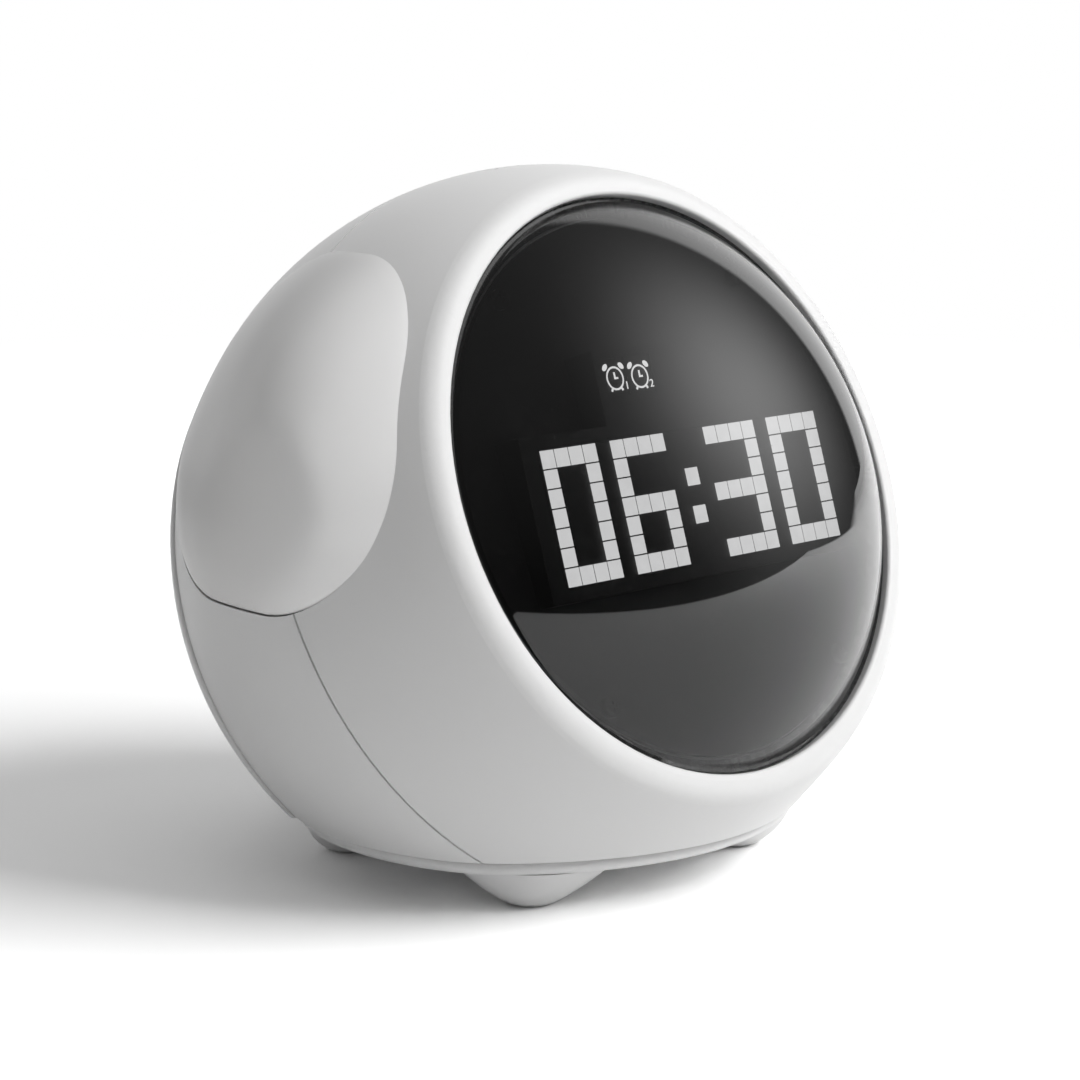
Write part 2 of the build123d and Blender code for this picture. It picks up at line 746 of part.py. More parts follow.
def key_board():
    height = key_board_top - key_board_bottom
    board = plate(2 * key_board_half, height, -board_height, 0, 0, 0, board_corner)
    board = at_back(board, 0, key_board_station, (key_board_top + key_board_bottom) / 2)
    for x, level in key_posts:
        board -= at_back(disc(small_screw[0] + screw_slip, 0, far), x, 0, level)
    return board


def charging_socket():
    """Upright socket: a plastic block, a steel mouth and the contact tongue inside it."""
    mouth = RectangleRounded(socket_width, socket_height, socket_height / 2 - slip)
    bore_width = socket_width - 2 * socket_shell
    bore_height = socket_height - 2 * socket_shell
    bore = RectangleRounded(bore_width, bore_height, bore_height / 2 - slip)
    length = socket_mouth - key_board_station
    block = plate(socket_width + 2 * socket_shell, socket_height + 2 * socket_shell, 0, socket_block)
    body = block + extrude(mouth, length)
    body -= Pos(0, 0, socket_block) * extrude(bore, length)
    body += plate(socket_tongue_width, socket_tongue, socket_block, length - socket_height / 2)
    return at_back(body, 0, key_board_station, socket_level)


# ---------------------------------------------------------------- screws
def face_screws(sizes, places, seat, rise=0.0, front=False):
    """Screws along the face axis: heads towards the front of the clock or towards its back."""
    return on_face(
        Compound(children=[Pos(x, y + rise, seat) * screw(sizes, head_up=front) for x, y in places])
    )


def upright_screws(sizes, places, seat, head_up):
    return Compound(children=[Pos(x, y, seat) * screw(sizes, head_up) for x, y in places])


# ---------------------------------------------------------------- write every node
save(front_shell(), "front_shell")
save(rear_shell(), "rear_shell")
save(rear_cover(), "rear_cover")
save(base_plate(), "base_plate")
for number, (x, y) in enumerate(feet, start=1):
    save(foot_pad(x, y), f"foot_pad_{number}")

save(lens_dome(), "lens_dome")
save(lens_gasket(), "lens_gasket")
save(display_frame(), "display_frame")
save(light_grid(), "light_grid")
save(diffuser_sheet(), "diffuser_sheet")
save(display_film(), "display_film")
save(display_board(), "display_board")
save(display_lamps(), "display_lamps")

right_cover = night_light_cover()
right_board = night_light_board()
right_lamps = night_light_lamps()
pod_screws = POD.location * upright_screws(small_screw, pod_posts, -board_height, False)
for side, place in (("right", lambda shape: shape), ("left", lambda shape: mirror(shape, about=Plane.YZ))):
    save(place(right_cover), "night_light_cover_" + side)
    save(place(right_board), "night_light_board_" + side)
    save(place(right_lamps), "night_light_lamps_" + side)
    save(place(pod_screws), "night_light_screws_" + side)

save(speaker_body(), "speaker_body")
save(speaker_cone(), "speaker_cone")
save(speaker_gasket(), "speaker_gasket")

save(battery(), "battery_cell")
save(battery_tape(), "battery_tape")
save(main_board(), "main_board")
save(main_board_parts(), "main_board_parts")

for number, (x, level) in enumerate(keys, start=1):
    save(key_cap(x, level), f"key_{number}")
save(switches(), "key_switches")
save(key_board(), "key_board")
save(charging_socket(), "charging_socket")

save(face_screws(shell_screw, shell_posts, shell_screw_seat), "shell_screws")
save(face_screws(cover_screw, cover_posts, cover_screw_seat), "rear_cover_screws")
frame_seat = ledge_top + frame_disc_height
save(face_screws(small_screw, frame_screws, frame_seat, lift, True), "display_frame_screws")
board_seat = module_rear - board_height
board_screws = upright_screws(small_screw, display_screws, board_seat, False)
save(DISPLAY.location * board_screws, "display_board_screws")
save(upright_screws(base_screw, feet, table + foot_seat, False), "base_screws")
main_seat = main_board_level + board_height
save(upright_screws(small_screw, board_posts, main_seat, True), "main_board_screws")
key_seat = key_board_station - board_height
key_screws = [at_back(screw(small_screw, False), x, key_seat, level) for x, level in key_posts]
save(Compound(children=key_screws), "key_board_screws")
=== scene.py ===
from math import acos, atan2, cos, degrees, pi, radians, sin, tan, tanh

import bpy
from mathutils import Matrix, Vector


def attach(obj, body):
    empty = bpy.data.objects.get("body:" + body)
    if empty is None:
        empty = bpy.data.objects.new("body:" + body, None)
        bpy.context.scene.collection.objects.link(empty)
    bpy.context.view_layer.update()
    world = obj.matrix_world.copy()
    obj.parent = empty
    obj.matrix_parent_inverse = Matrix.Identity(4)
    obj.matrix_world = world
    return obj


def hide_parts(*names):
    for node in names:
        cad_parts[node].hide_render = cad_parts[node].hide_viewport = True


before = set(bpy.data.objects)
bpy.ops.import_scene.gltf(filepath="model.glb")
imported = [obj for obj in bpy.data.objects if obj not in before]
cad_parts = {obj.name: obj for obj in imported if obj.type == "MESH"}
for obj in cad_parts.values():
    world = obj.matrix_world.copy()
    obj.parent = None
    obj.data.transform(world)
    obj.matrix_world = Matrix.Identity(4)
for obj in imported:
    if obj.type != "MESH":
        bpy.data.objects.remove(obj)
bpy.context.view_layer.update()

mm = 0.001

# Driving sizes, in millimetres round the middle of the ball
clock = dict(
    ballRadius=47.5,
    ballHeight=40.4,      # middle of the ball above the table
    coverRadius=48.0,
    faceTilt=21.76,       # degrees that the face leans back
    frontPull=2.5,        # the lower front edge is drawn in by this much
    pullLength=18.0,
    rimStation=25.2,
    lensRadius=36.2,
    lensDrop=0.85,
    lensSag=16.0,
)
lift = clock["frontPull"] / 2
tilt = radians(clock["faceTilt"])
domeRadius = (clock["lensRadius"] ** 2 + clock["lensSag"] ** 2) / (2 * clock["lensSag"])
domeMiddle = clock["rimStation"] - clock["lensDrop"] + clock["lensSag"] - domeRadius
frontReach = domeMiddle * cos(tilt) - lift * sin(tilt) + domeRadius
middleY = (frontReach - clock["coverRadius"]) / 2

# Frames that bring a piece drawn in millimetres to its place in metres
ballFrame = Matrix.Translation((0, middleY * mm, clock["ballHeight"] * mm)) @ Matrix.Scale(mm, 4)
faceFrame = ballFrame @ Matrix.Rotation(pi / 2 - tilt, 4, "X")


# Helpers for modelling
def deselectAll():
    if bpy.context.object and bpy.context.object.mode != "OBJECT":
        bpy.ops.object.mode_set(mode="OBJECT")
    bpy.ops.object.select_all(action="DESELECT")


def named(name):
    piece = bpy.context.object
    piece.name = name
    piece.data.name = name
    return piece


def focus(piece):
    deselectAll()
    piece.select_set(True)
    bpy.context.view_layer.objects.active = piece


# Brings a finished piece to its place in metres and lets it ride on the body it is fixed to
def settle(piece, place, angle=30, body="housing"):
    focus(piece)
    piece.data.transform(place)
    bpy.ops.object.shade_smooth_by_angle(angle=radians(angle))
    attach(piece, body)
    return piece


# Turns a closed outline of (radius, station) once round the face axis
def spunPiece(name, outline, steps):
    deselectAll()
    bpy.ops.mesh.primitive_circle_add(vertices=len(outline), radius=1)
    piece = named(name)
    for vertex, (radius, station) in zip(piece.data.vertices, outline):
        vertex.co = (radius, 0, station)
    bpy.ops.object.mode_set(mode="EDIT")
    bpy.ops.mesh.select_all(action="SELECT")
    bpy.ops.mesh.spin(steps=steps, angle=2 * pi, center=(0, 0, 0), axis=(0, 0, 1))
    bpy.ops.mesh.select_all(action="SELECT")
    bpy.ops.mesh.remove_doubles(threshold=0.001)
    bpy.ops.mesh.normals_make_consistent(inside=False)
    bpy.ops.object.mode_set(mode="OBJECT")
    return piece


# A copy with a mesh of its own, moved within the drawing frame
def copyAt(piece, place):
    copy = bpy.data.objects.new(piece.name, piece.data.copy())
    bpy.context.scene.collection.objects.link(copy)
    copy.data.transform(place)
    return copy


def joined(pieces, name):
    deselectAll()
    for piece in pieces:
        piece.select_set(True)
    bpy.context.view_layer.objects.active = pieces[0]
    bpy.ops.object.join()
    return named(name)


# Points of an arc in an outline, with its angles in degrees from the radius direction
def arc(middleR, middleZ, radius, start, end, steps):
    angles = [radians(start + (end - start) * step / steps) for step in range(steps + 1)]
    return [(middleR + radius * cos(angle), middleZ + radius * sin(angle)) for angle in angles]


# A socket that can be used in sums
class Wire:
    def __init__(self, paint, socket):
        self.paint = paint
        self.socket = socket

    def maths(self, operation, *values):
        return self.paint.add("ShaderNodeMath", {"operation": operation}, dict(enumerate(values)))

    def __add__(self, other):
        return self.maths("ADD", self, other)

    __radd__ = __add__

    def __sub__(self, other):
        return self.maths("SUBTRACT", self, other)

    def __rsub__(self, other):
        return self.maths("SUBTRACT", other, self)

    def __mul__(self, other):
        return self.maths("MULTIPLY", self, other)

    __rmul__ = __mul__

    def __pow__(self, other):
        return self.maths("POWER", self, other)

    def atLeast(self, other):
        return self.maths("MAXIMUM", self, other)

    def step(self, low, high):
        # 0 below low, 1 above high, smooth between
        ramp = {"interpolation_type": "SMOOTHSTEP"}
        values = {"Value": self, "From Min": low, "From Max": high}
        return self.paint.add("ShaderNodeMapRange", ramp, values)


# Adds nodes to a tree; every value can be a number, a colour or a Wire
class Paint:
    def __init__(self, tree):
        self.tree = tree
        tree.nodes.clear()

    def add(self, kind, settings=None, values=None, output=0):
        node = self.tree.nodes.new(kind)
        for key, value in (settings or {}).items():
            setattr(node, key, value)
        for key, value in (values or {}).items():
            socket = node.inputs[key]
            if isinstance(value, Wire):
                self.tree.links.new(value.socket, socket)
            else:
                socket.default_value = value
        return Wire(self, node.outputs[output])

    def spot(self):
        return self.add("ShaderNodeTexCoord", output="Object")

    def noise(self, vector, scale, detail, rough):
        values = {"Vector": vector, "Scale": scale, "Detail": detail, "Roughness": rough}
        return self.add("ShaderNodeTexNoise", {}, values)

    def blend(self, factor, first, second):
        node = self.tree.nodes.new("ShaderNodeMix")
        node.data_type = "RGBA"
        for name, value in (("Factor_Float", factor), ("A_Color", first), ("B_Color", second)):
            socket = next(item for item in node.inputs if item.identifier == name)
            if isinstance(value, Wire):
                self.tree.links.new(value.socket, socket)
            else:
                socket.default_value = value
        result = next(item for item in node.outputs if item.identifier == "Result_Color")
        return Wire(self, result)

    def bump(self, height, strength, distance):
        values = {"Height": height, "Strength": strength, "Distance": distance}
        return self.add("ShaderNodeBump", {}, values)

    def surface(self, shader):
        output = self.tree.nodes.new("ShaderNodeOutputMaterial")
        self.tree.links.new(shader.socket, output.inputs["Surface"])


def newPaint(name):
    material = bpy.data.materials.new(name)
    material.use_nodes = True
    return material, Paint(material.node_tree)


def grey(level, warm=0.0):
    return (level * (1 + warm), level, level * (1 - warm), 1)


grain = dict(cloudDetail=4.0, cloudRough=0.55, detail=2.0, rough=0.6, gloss=0.03, ior=1.5)


# Moulded plastic: a fine spark-eroded grain, faint flow clouds and dust in the roughness, and for some
# looks painted light and shade by position
def moulded(name, look):
    material, paint = newPaint(name)
    spot = paint.spot()
    clouds = paint.noise(spot, look["cloudScale"], grain["cloudDetail"], grain["cloudRough"])
    pits = paint.noise(spot, look["grainScale"], grain["detail"], grain["rough"])
    colour = paint.blend(clouds, look["colour"], look["cloudColour"])
    if "paintedShadeColour" in look:
        # painted shade and painted highlight: the milky wall is painted greyer towards its top and
        # back, where it lies in shade, and whiter towards the front, where light falls on it
        y, z = [paint.add("ShaderNodeSeparateXYZ", {}, {0: spot}, output=axis) for axis in "YZ"]
        hollow = (y + look["paintedShadeLean"] * z).step(look["paintedShadeStart"], look["paintedShadeEnd"])
        colour = paint.blend(hollow, colour, look["paintedShadeColour"])
        colour = paint.blend(y.step(look["frontStart"], look["frontEnd"]), look["paintedLightColour"], colour)
    gloss = look["roughness"] + look["roughnessSpread"] * (clouds - 0.5) + grain["gloss"] * (pits - 0.5)
    normal = paint.bump(pits, look["grainStrength"], look["grainDepth"])
    values = {
        "Base Color": colour,
        "Roughness": gloss,
        "Normal": normal,
        "IOR": grain["ior"],
        "Metallic": look.get("metallic", 0.0),
    }
    paint.surface(paint.add("ShaderNodeBsdfPrincipled", {}, values))
    return material


looks = dict(
    shell=dict(
        colour=grey(0.80, 0.003), cloudColour=grey(0.83, 0.0), cloudScale=60, roughness=0.36,
        roughnessSpread=0.08, grainScale=5200, grainStrength=0.10, grainDepth=0.00004,
    ),
    milky=dict(
        colour=grey(0.80, 0.008), cloudColour=grey(0.82, 0.006), cloudScale=45, roughness=0.30,
        roughnessSpread=0.05, grainScale=4200, grainStrength=0.06, grainDepth=0.00003,
        # the last two lines paint light and shade into the colour: whiter to the front where light
        # falls, greyer towards the top and back where it lies in shade
        paintedLightColour=grey(0.91, 0.004), frontStart=-0.014, frontEnd=0.004,
        paintedShadeColour=grey(0.58, 0.004), paintedShadeStart=0.024, paintedShadeEnd=0.048, paintedShadeLean=0.6,
    ),
    blackPlastic=dict(
        colour=grey(0.012), cloudColour=grey(0.018), cloudScale=80, roughness=0.5,
        roughnessSpread=0.12, grainScale=4000, grainStrength=0.2, grainDepth=0.00005,
    ),
    greyKey=dict(
        colour=grey(0.32, 0.004), cloudColour=grey(0.36), cloudScale=120, roughness=0.5,
        roughnessSpread=0.1, grainScale=5000, grainStrength=0.25, grainDepth=0.00005,
    ),
    rubber=dict(
        colour=grey(0.10), cloudColour=grey(0.13), cloudScale=200, roughness=0.75,
        roughnessSpread=0.15, grainScale=3500, grainStrength=0.4, grainDepth=0.00008,
    ),
    whiteGrid=dict(
        colour=grey(0.72), cloudColour=grey(0.76), cloudScale=90, roughness=0.55,
        roughnessSpread=0.1, grainScale=4000, grainStrength=0.1, grainDepth=0.00004,
    ),
    smokedSheet=dict(
        colour=grey(0.016), cloudColour=grey(0.022), cloudScale=90, roughness=0.6,
        roughnessSpread=0.1, grainScale=3000, grainStrength=0.1, grainDepth=0.00004,
    ),
    steel=dict(
        colour=grey(0.55, 0.01), cloudColour=grey(0.62), cloudScale=300, roughness=0.3,
        roughnessSpread=0.2, grainScale=3000, grainStrength=0.2, grainDepth=0.00003, metallic=1.0,
    ),
    board=dict(
        colour=(0.012, 0.075, 0.035, 1), cloudColour=(0.018, 0.11, 0.05, 1), cloudScale=400,
        roughness=0.35, roughnessSpread=0.2, grainScale=1500, grainStrength=0.3, grainDepth=0.00006,
    ),
    paper=dict(
        colour=grey(0.03), cloudColour=grey(0.05), cloudScale=600, roughness=0.9,
        roughnessSpread=0.1, grainScale=2500, grainStrength=0.6, grainDepth=0.0001,
    ),
    foam=dict(
        colour=grey(0.04), cloudColour=grey(0.07), cloudScale=900, roughness=0.95,
        roughnessSpread=0.05, grainScale=2200, grainStrength=0.8, grainDepth=0.00015,
    ),
    battery=dict(
        colour=(0.28, 0.32, 0.36, 1), cloudColour=(0.34, 0.38, 0.42, 1), cloudScale=100,
        roughness=0.3, roughnessSpread=0.15, grainScale=900, grainStrength=0.2, grainDepth=0.0001,
        metallic=0.6,
    ),
)
paints = {name: moulded(name, look) for name, look in looks.items()}


lens = dict(smoke=0.34, ior=1.62, roughness=0.012, smear=0.014, smearScale=35, inner=0.92)


# Smoked clear plastic: a dark tint that lets the lit cells through under a sharp gloss
def smokedLens():
    material, paint = newPaint("smokedLens")
    tint = paint.add("ShaderNodeBsdfTransparent", {}, {"Color": grey(lens["smoke"])})
    smears = paint.noise(paint.spot(), lens["smearScale"], 3.0, 0.6)
    gloss = lens["roughness"] + lens["smear"] * smears
    mirror = paint.add("ShaderNodeBsdfAnisotropic", {}, {"Color": grey(1.0), "Roughness": gloss})
    share = paint.add("ShaderNodeFresnel", {}, {"IOR": lens["ior"]})
    paint.surface(paint.add("ShaderNodeMixShader", {}, {0: share, 1: tint, 2: mirror}))
    return material


# Inside of the dome, where a second mirror would only blur the lit cells
def lensInside():
    material, paint = newPaint("lensInside")
    paint.surface(paint.add("ShaderNodeBsdfTransparent", {}, {"Color": grey(lens["inner"])}))
    return material


lit = dict(
    colour=grey(1.0, -0.004), dimColour=grey(0.86, -0.004), cloudScale=700,
    base=0.1, roughness=0.6, cellStrength=2.0, signStrength=2.3,
)


# A lit diffuser: even light, a little dimmer in clouds
def litPaint(name, strength):
    material, paint = newPaint(name)
    clouds = paint.noise(paint.spot(), lit["cloudScale"], 2.0, 0.5)
    values = {
        "Base Color": grey(lit["base"]),
        "Roughness": lit["roughness"],
        "Emission Color": paint.blend(clouds, lit["colour"], lit["dimColour"]),
        "Emission Strength": strength,
    }
    paint.surface(paint.add("ShaderNodeBsdfPrincipled", {}, values))
    return material


paints["lens"] = smokedLens()
paints["lensInside"] = lensInside()
paints["lit"] = litPaint("litCell", lit["cellStrength"])
paints["sign"] = litPaint("litSign", lit["signStrength"])
print("materials ready")

# What each CAD node is made of
nodePaint = dict(
    shell=("front_shell", "rear_shell", "rear_cover", "base_plate"),
    milky=("night_light_cover_left", "night_light_cover_right"),
    blackPlastic=(
        "display_frame", "display_frame_screws", "display_film", "speaker_body", "key_switches",
        "main_board_parts",
    ),
    greyKey=("key_1", "key_2", "key_3", "key_4"),
    rubber=("foot_pad_1", "foot_pad_2", "foot_pad_3", "foot_pad_4"),
    smokedSheet=("diffuser_sheet",),
    whiteGrid=(
        "light_grid", "display_lamps", "night_light_lamps_left", "night_light_lamps_right",
    ),
    steel=(
        "charging_socket", "shell_screws", "rear_cover_screws",
        "display_board_screws", "base_screws", "main_board_screws", "key_board_screws",
        "night_light_screws_left", "night_light_screws_right",
    ),
    board=(
        "display_board", "main_board", "key_board", "night_light_board_left",
        "night_light_board_right",
    ),
    paper=("speaker_cone",),
    foam=("lens_gasket", "speaker_gasket", "battery_tape"),
    battery=("battery_cell",),
    lens=("lens_dome",),
)
for name, nodes in nodePaint.items():
    for node in nodes:
        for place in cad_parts[node].material_slots:
            place.material = paints[name]
print("CAD nodes painted")

# The dome: its arc starts inside a narrow sloping ring that stands just below the rim
dome = dict(
    wall=2.0, flange=1.8, steps=256, rings=64, edgeRound=0.12,
    ringInner=35.45, ringRise=0.28, ringStep=0.12, ringPoints=8, shoulder=0.20,
    arcGap=0.25,          # degrees left free for the shoulder between ring and arc
    pole=89.98,           # degrees at which both arcs end
    sideGap=0.05,
)


# Thin smoked cap with a straight flange, turned from its section
def domeCap():
    edge = clock["rimStation"] - clock["lensDrop"]
    foot = edge - dome["flange"]
    crest = edge + clock["lensSag"]
    inside, start = dome["ringInner"], edge + dome["ringRise"]
    rise = crest - start
    radius = (inside**2 + rise**2) / (2 * rise)
    middle = crest - radius
    outer = clock["lensRadius"]
    innerEdge = outer - dome["wall"]
    hollow = radius - dome["wall"]
    outerStart = degrees(atan2(start - middle, inside))
    innerEnd = degrees(acos(innerEdge / hollow))
    ringStart = outer - dome["edgeRound"]
    outline = [(outer, foot), (outer, edge - dome["edgeRound"]), (ringStart, edge)]
    for step in range(1, dome["ringPoints"]):
        share = step / dome["ringPoints"]
        outline.append((ringStart + (inside + dome["shoulder"] - outer) * share,
                        edge + (dome["ringRise"] - dome["ringStep"]) * share))
    outline += arc(0, middle, radius, outerStart + dome["arcGap"], dome["pole"], dome["rings"])
    outline += arc(0, middle, hollow, dome["pole"], innerEnd, dome["rings"])
    outline += [(innerEdge, foot)]
    cap = spunPiece("lens_cap", outline, dome["steps"])
    cap.data.materials.append(paints["lens"])
    cap.data.materials.append(paints["lensInside"])
    middlePoint = Vector((0, 0, middle))
    for face in cap.data.polygons:
        away = (face.center - middlePoint).length
        aside = Vector(face.center[:2]).length
        inner = away < radius - dome["wall"] / 2 and face.center.z > edge
        below = face.center.z < edge - dome["edgeRound"] and aside < outer - dome["sideGap"]
        face.material_index = 1 if inner or below else 0
    cap.data.transform(Matrix.Translation((0, lift, 0)))
    settle(cap, faceFrame, 50)
    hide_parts("lens_dome")
    return cap


domeCap()
print("dome done")

# Night lights: milky cushions that swell most towards the front and tuck into the shell
cushion = dict(
    middle=5.3, top=37.5, bottom=-2.6, topWidth=28.2, bottomWidth=54.0,
    corner=16.0, cornerSteps=40, centreLevel=16.5, around=176,
    crown=2.4, frontCrown=7.0, frontStart=16.0, frontEnd=-10.0, width=15.0, wall=1.4,
    edge=1.0, sink=0.3,
    overlap=0.62, lowOverlap=0.14, lapHeight=8.0,      # how far it laps over its seat
    widest=46.8, give=3.0,                             # past widest, it gives way softly
    search=(30.0, 60.0), halvings=40, rounds=6,        # how finely its place on the shell is found
    rings=(1.0, 0.996, 0.99, 0.98, 0.966, 0.948, 0.925, 0.9, 0.87, 0.835, 0.8, 0.755, 0.7, 0.64,
           0.57, 0.5, 0.42, 0.34, 0.26, 0.18, 0.1),
)


# Points of the outline seen from the side, evenly spaced, with round corners
def cushionOutline():
    low, high, middle = cushion["bottom"], cushion["top"], cushion["middle"]
    wide, narrow, corner = cushion["bottomWidth"] / 2, cushion["topWidth"] / 2, cushion["corner"]
    corners = [Vector((middle + wide, low)), Vector((middle + narrow, high)),
               Vector((middle - narrow, high)), Vector((middle - wide, low))]
    points = []
    for index, spot in enumerate(corners):
        before = (corners[index - 1] - spot).normalized()
        after = (corners[(index + 1) % 4] - spot).normalized()
        half = before.angle(after) / 2
        centre = spot + (before + after).normalized() * corner / sin(half)
        start, end = spot + before * corner / tan(half), spot + after * corner / tan(half)
        first = atan2(start.y - centre.y, start.x - centre.x)
        turn = (atan2(end.y - centre.y, end.x - centre.x) - first) % (2 * pi)
        for step in range(cushion["cornerSteps"] + 1):
            angle = first + turn * step / cushion["cornerSteps"]
            way = Vector((cos(angle), sin(angle)))
            spot = centre + corner * way
            share = min(max((spot.y - low) / cushion["lapHeight"], 0.0), 1.0)
            lap = cushion["lowOverlap"] + (cushion["overlap"] - cushion["lowOverlap"]) * share
            points.append(spot + lap * way)
    lengths = [0.0]
    for index, spot in enumerate(points):
        lengths.append(lengths[-1] + (points[(index + 1) % len(points)] - spot).length)
    spaced = []
    for step in range(cushion["around"]):
        goal = lengths[-1] * step / cushion["around"]
        index = max(item for item in range(len(points)) if lengths[item] <= goal)
        share = (goal - lengths[index]) / max(lengths[index + 1] - lengths[index], 1e-6)
        spaced.append(points[index].lerp(points[(index + 1) % len(points)], share))
    return spaced


# Distance from the middle of the ball to the outside of the shell, along a direction
def bodyReach(way):
    axis = Vector((0, -cos(tilt), sin(tilt)))
    up = Vector((0, sin(tilt), cos(tilt)))
    low, high = cushion["search"]
    for step in range(cushion["halvings"]):
        reach = (low + high) / 2
        spot = way * reach
        station = spot.dot(axis)
        share = min(max(station / clock["pullLength"], 0.0), 1.0)
        pull = clock["frontPull"] * share**2 * (3 - 2 * share)
        aside = (spot - axis * station - up * pull / 2).length
        limit = max(clock["ballRadius"] ** 2 - station**2, 0.0) ** 0.5 - pull / 2
        low, high = (reach, high) if aside < limit else (low, reach)
    return reach


# Distance from a point to the outline, seen from the side
def edgeDistance(spot, outline):
    best = 1000.0
    for index, start in enumerate(outline):
        end = outline[(index + 1) % len(outline)]
        along = end - start
        share = min(max((spot - start).dot(along) / along.length_squared, 0.0), 1.0)
        best = min(best, (spot - start - along * share).length)
    return best


# Height above the shell: fuller to the front, rounded down into the shell along the edge
def cushionHeight(inset, spot):
    swell = max(1 - inset / cushion["width"], 0.0)
    forward = (cushion["frontStart"] - spot.x) / (cushion["frontStart"] - cushion["frontEnd"])
    forward = min(max(forward, 0.0), 1.0)
    forward = forward**2 * (3 - 2 * forward)
    crown = cushion["crown"] + (cushion["frontCrown"] - cushion["crown"]) * forward
    height = crown * (1 - swell**2)
    if inset < cushion["edge"]:
        bend = 1 - inset / cushion["edge"]
        height -= cushion["sink"] * (1 - max(1 - bend**2, 0.0) ** 0.5)
    return height


# One disc of many rings is laid over the left flank, given its wall, and mirrored to the right
def nightLights():
    outline = cushionOutline()
    deselectAll()
    bpy.ops.mesh.primitive_circle_add(vertices=cushion["around"], radius=1)
    piece = named("night_light_cushion_left")
    bpy.ops.object.mode_set(mode="EDIT")
    bpy.ops.mesh.select_all(action="SELECT")
    rings = cushion["rings"]
    for outer, inner in zip(rings, rings[1:]):
        bpy.ops.mesh.extrude_region_move()
        bpy.ops.transform.resize(value=(inner / outer, inner / outer, 1), center_override=(0, 0, 0))
    bpy.ops.mesh.edge_face_add()
    bpy.ops.mesh.poke()
    bpy.ops.object.mode_set(mode="OBJECT")
    centre = Vector((cushion["middle"], cushion["centreLevel"]))
    for vertex in piece.data.vertices:
        share = Vector(vertex.co[:2]).length
        turn = atan2(vertex.co.y, vertex.co.x) % (2 * pi) / (2 * pi) * cushion["around"]
        index = int(round(turn)) % cushion["around"]
        spot = centre.lerp(outline[index], share)
        height = cushionHeight(edgeDistance(spot, outline) if share < 0.9999 else 0.0, spot)
        aside = (clock["ballRadius"] ** 2 - spot.length_squared) ** 0.5
        for step in range(cushion["rounds"]):
            way = Vector((-aside, spot.x, spot.y)).normalized()
            reach = bodyReach(way) + height
            aside = max(reach**2 - spot.length_squared, 1.0) ** 0.5
        if aside > cushion["widest"]:
            excess = (aside - cushion["widest"]) / cushion["give"]
            aside = cushion["widest"] + cushion["give"] * tanh(excess)
        vertex.co = (-aside, spot.x, spot.y)
    focus(piece)
    bpy.ops.object.mode_set(mode="EDIT")
    bpy.ops.mesh.select_all(action="SELECT")
    bpy.ops.mesh.normals_make_consistent(inside=False)
    bpy.ops.object.mode_set(mode="OBJECT")
    if sum(face.normal.x for face in piece.data.polygons) > 0:
        piece.data.flip_normals()
    wall = piece.modifiers.new("wall", "SOLIDIFY")
    wall.thickness = cushion["wall"]
    wall.offset = -1
    bpy.ops.object.modifier_apply(modifier="wall")
    piece.data.materials.append(paints["milky"])
    other = copyAt(piece, Matrix.Diagonal((-1, 1, 1, 1)))
    other.data.flip_normals()
    other.name = other.data.name = "night_light_cushion_right"
    settle(piece, ballFrame, 40)
    settle(other, ballFrame, 40)
    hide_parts("night_light_cover_left")
    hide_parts("night_light_cover_right")


nightLights()
print("night lights done")

# The lit cells
display = dict(
    station=26.27, lift=-1.15, tilt=17.53, pitch=2.33, columns=21, rows=7, gap=0.17,
    height=0.12, level=0.24, bevel=0.04, colon=((10, 2), (10, 4)),
)
digitCells = {
    "0": ("1111", "1001", "1001", "1001", "1001", "1001", "1111"),
    "3": ("1111", "0001", "0001", "1111", "0001", "0001", "1111"),
    "6": ("1111", "1000", "1000", "1111", "1001", "1001", "1111"),
}
shownTime = (("0", 0), ("6", 5), ("3", 12), ("0", 17))
displayTilt = radians(display["tilt"])
displayPlace = Vector((0, -cos(tilt) * display["station"] + sin(tilt) * display["lift"],
                       sin(tilt) * display["station"] + cos(tilt) * display["lift"]))
displayTurn = Matrix.Rotation(pi / 2 - displayTilt, 4, "X")
displayFrame = ballFrame @ Matrix.Translation(displayPlace) @ displayTurn


# Middle of a cell, counted from the top left
def cellPlace(column, row):
    x = (column - (display["columns"] - 1) / 2) * display["pitch"]
    y = ((display["rows"] - 1) / 2 - row) * display["pitch"]
    return x, y


# One rounded tile for each lit cell, all in one piece
def litCells():
    places = [cellPlace(*spot) for spot in display["colon"]]
    for digit, first in shownTime:
        for row, line in enumerate(digitCells[digit]):
            places += [cellPlace(first + step, row) for step, on in enumerate(line) if on == "1"]
    side = display["pitch"] - display["gap"]
    deselectAll()
    bpy.ops.mesh.primitive_cube_add(size=1, location=(0, 0, display["level"]))
    tile = named("lit_cells")
    tile.scale = (side, side, display["height"])
    bpy.ops.object.transform_apply(location=True, rotation=False, scale=True)
    bpy.ops.object.mode_set(mode="EDIT")
    bpy.ops.mesh.select_all(action="SELECT")
    bpy.ops.mesh.bevel(offset=display["bevel"], segments=2, affect="EDGES")
    bpy.ops.object.mode_set(mode="OBJECT")
    copies = [copyAt(tile, Matrix.Translation((x, y, 0))) for x, y in places]
    bpy.data.objects.remove(tile)
    cells = joined(copies, "lit_cells")
    cells.data.materials.clear()
    cells.data.materials.append(paints["lit"])
    return settle(cells, displayFrame)


litCells()
print("lit cells done")

# Two alarm clocks, small and plain, each with its number
signs = dict(
    places=((-9.5, 15.37, "1"), (-5.25, 15.25, "2")), level=0.24, height=0.08,
    ring=1.34, line=0.12, flatten=0.4, ringSteps=64, lineSteps=10, discSteps=32,
    bell=0.50, bellReach=1.98, bellAngles=(46, 134), squash=0.62,
    legReach=1.40, legAngles=(238, 302), legLength=0.40,
    hand=0.11, minuteHand=0.85, hourHand=0.62, numberAt=(1.78, -1.05), numberSize=1.35,
)


